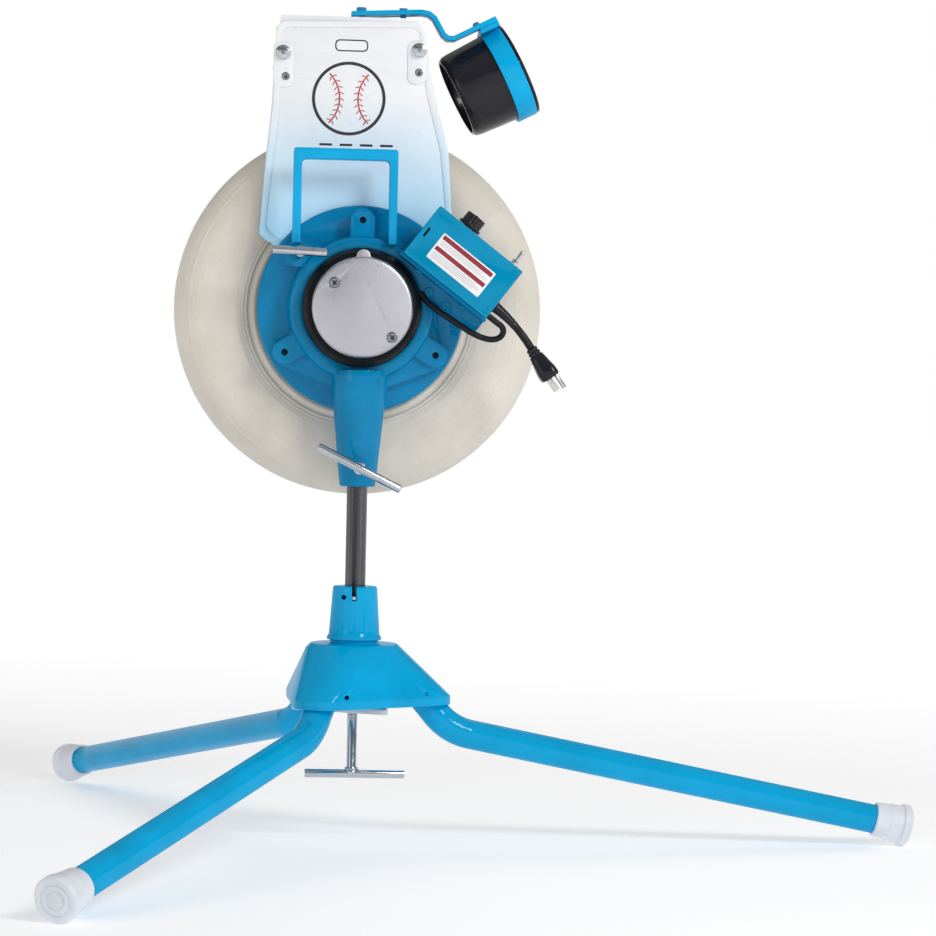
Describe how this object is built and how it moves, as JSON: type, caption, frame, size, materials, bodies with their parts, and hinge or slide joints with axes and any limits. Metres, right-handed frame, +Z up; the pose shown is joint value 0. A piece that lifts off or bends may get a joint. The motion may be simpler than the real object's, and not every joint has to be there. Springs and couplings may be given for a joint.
{
  "type": "baseball pitching machine",
  "caption": "Single-wheel ball pitching machine on a three-legged stand, with a feed cup, tilting lane and speed box.",
  "frame": {"origin": "middle of the footprint on the floor; the post stands at x -0.138, y +0.012", "axes": "+Z up; +Y along the motor shaft, from the motor cap to the tyre; the ball leaves towards -X"},
  "size_m": [0.9719, 1.091, 0.9094],
  "materials": {
    "blue_paint": "glossy powder coat",
    "blue_fastener": "painted over",
    "post_steel": "dark polished",
    "zinc": "bright zinc plate",
    "dark_fastener": "black oxide",
    "bright_steel": "ground",
    "plate_white": "satin white powder coat",
    "bottom_plate": "satin",
    "foot_plastic": "moulded",
    "black_paint": "satin black",
    "cap_aluminium": "matte cast",
    "magnet": "sintered",
    "copper": "wound",
    "rim_paint": "satin",
    "tyre_rubber": "smooth light compound",
    "tube_rubber": "matte",
    "brass": "bright",
    "pad_rubber": "worn urethane",
    "black_plastic": "moulded",
    "cord_jacket": "soft vinyl",
    "board": "solder mask"
  },
  "bodies": {
    "base": {"hub_casting": "blue_paint", "hub_bottom_plate": "bottom_plate", "hub_screws": "blue_fastener", "post": "post_steel", "post_pin": "zinc", "drawbolt_washer": "zinc"},
    "drawbolt_handle": {"drawbolt": "zinc"},
    "right_leg": {"leg_right": "blue_paint", "foot_right": "foot_plastic"},
    "front_leg": {"leg_front": "blue_paint", "foot_front": "foot_plastic"},
    "rear_leg": {"leg_rear": "blue_paint", "foot_rear": "foot_plastic"},
    "head": {"yoke_casting": "blue_paint", "lug_screws": "dark_fastener", "carry_handle": "blue_paint", "handle_screws": "zinc", "motor_housing": "black_paint", "motor_end_cap": "cap_aluminium", "cap_screws": "zinc", "motor_magnets": "magnet", "motor_bearings": "bright_steel", "tilt_clamp_nut": "zinc", "control_box_body": "blue_paint", "control_box_lid": "blue_paint", "box_screws": "zinc", "box_bracket": "blue_paint", "circuit_board": "board", "potentiometer": "zinc", "toggle_body": "zinc", "cord_gland": "black_plastic", "mains_cord": "cord_jacket", "plug_body": "black_plastic", "plug_blades": "bright_steel", "motor_lead": "cord_jacket"},
    "wheel": {"motor_armature": "copper", "motor_shaft": "bright_steel", "wheel_rim": "rim_paint", "wheel_hub": "zinc", "lug_nuts": "zinc", "shaft_nut": "zinc", "tyre": "tyre_rubber", "inner_tube": "tube_rubber", "valve_stem": "brass"},
    "lane": {"lane_plate": "plate_white", "pressure_channel": "plate_white", "pressure_pad": "pad_rubber", "lane_bolts": "zinc", "lane_screws": "zinc", "feed_arm": "blue_paint", "arm_bolts": "blue_fastener", "feed_cup": "black_plastic", "cup_band": "blue_paint"},
    "tilt_lock": {"tilt_lock_screw": "zinc", "tilt_lock_stud": "zinc", "tilt_lock_bar": "zinc"},
    "head_lock": {"head_lock_screw": "zinc", "head_lock_bar": "zinc"},
    "knob": {"speed_knob": "black_plastic"},
    "toggle": {"toggle_lever": "zinc"}
  },
  "joints": [
    {"name": "head_swivel", "type": "hinge", "parent": "base", "child": "head", "pos_m": [-0.138, 0.012, 0.44], "axis": [0, 0, 1], "continuous": true},
    {"name": "lane_tilt", "type": "hinge", "parent": "head", "child": "lane", "pos_m": [-0.138, 0.04, 0.578], "axis": [0, 1, 0], "range_deg": [-20, 30]},
    {"name": "wheel_spin", "type": "hinge", "parent": "head", "child": "wheel", "pos_m": [-0.138, 0.012, 0.578], "axis": [0, 1, 0], "continuous": true},
    {"name": "speed_knob_turn", "type": "hinge", "parent": "head", "child": "knob", "pos_m": [-0.04682, -0.026, 0.63891], "axis": [0.606, 0, 0.7955], "range_deg": [-270, 0]},
    {"name": "power_toggle_flip", "type": "hinge", "parent": "head", "child": "toggle", "pos_m": [0.02317, -0.026, 0.62846], "axis": [0.7955, 0, -0.606], "range_deg": [0, 24]},
    {"name": "tilt_lock_turn", "type": "hinge", "parent": "head", "child": "tilt_lock", "pos_m": [-0.2055, -0.034, 0.636], "axis": [0, 1, 0], "range_deg": [-360, 0]},
    {"name": "head_lock_turn", "type": "hinge", "parent": "head", "child": "head_lock", "pos_m": [-0.138, -0.04, 0.4066], "axis": [0, 1, 0], "range_deg": [-360, 0]},
    {"name": "drawbolt_turn", "type": "hinge", "parent": "base", "child": "drawbolt_handle", "pos_m": [-0.138, 0.012, 0.075], "axis": [0, 0, 1], "range_deg": [-720, 0]},
    {"name": "right_leg_pull", "type": "slide", "parent": "base", "child": "right_leg", "axis": [0.6422, 0.028, -0.766], "range_m": [0, 0.06]},
    {"name": "front_leg_pull", "type": "slide", "parent": "base", "child": "front_leg", "axis": [-0.2968, -0.5702, -0.766], "range_m": [0, 0.06]},
    {"name": "rear_leg_pull", "type": "slide", "parent": "base", "child": "rear_leg", "axis": [-0.3454, 0.5421, -0.766], "range_m": [0, 0.06]}
  ]
}
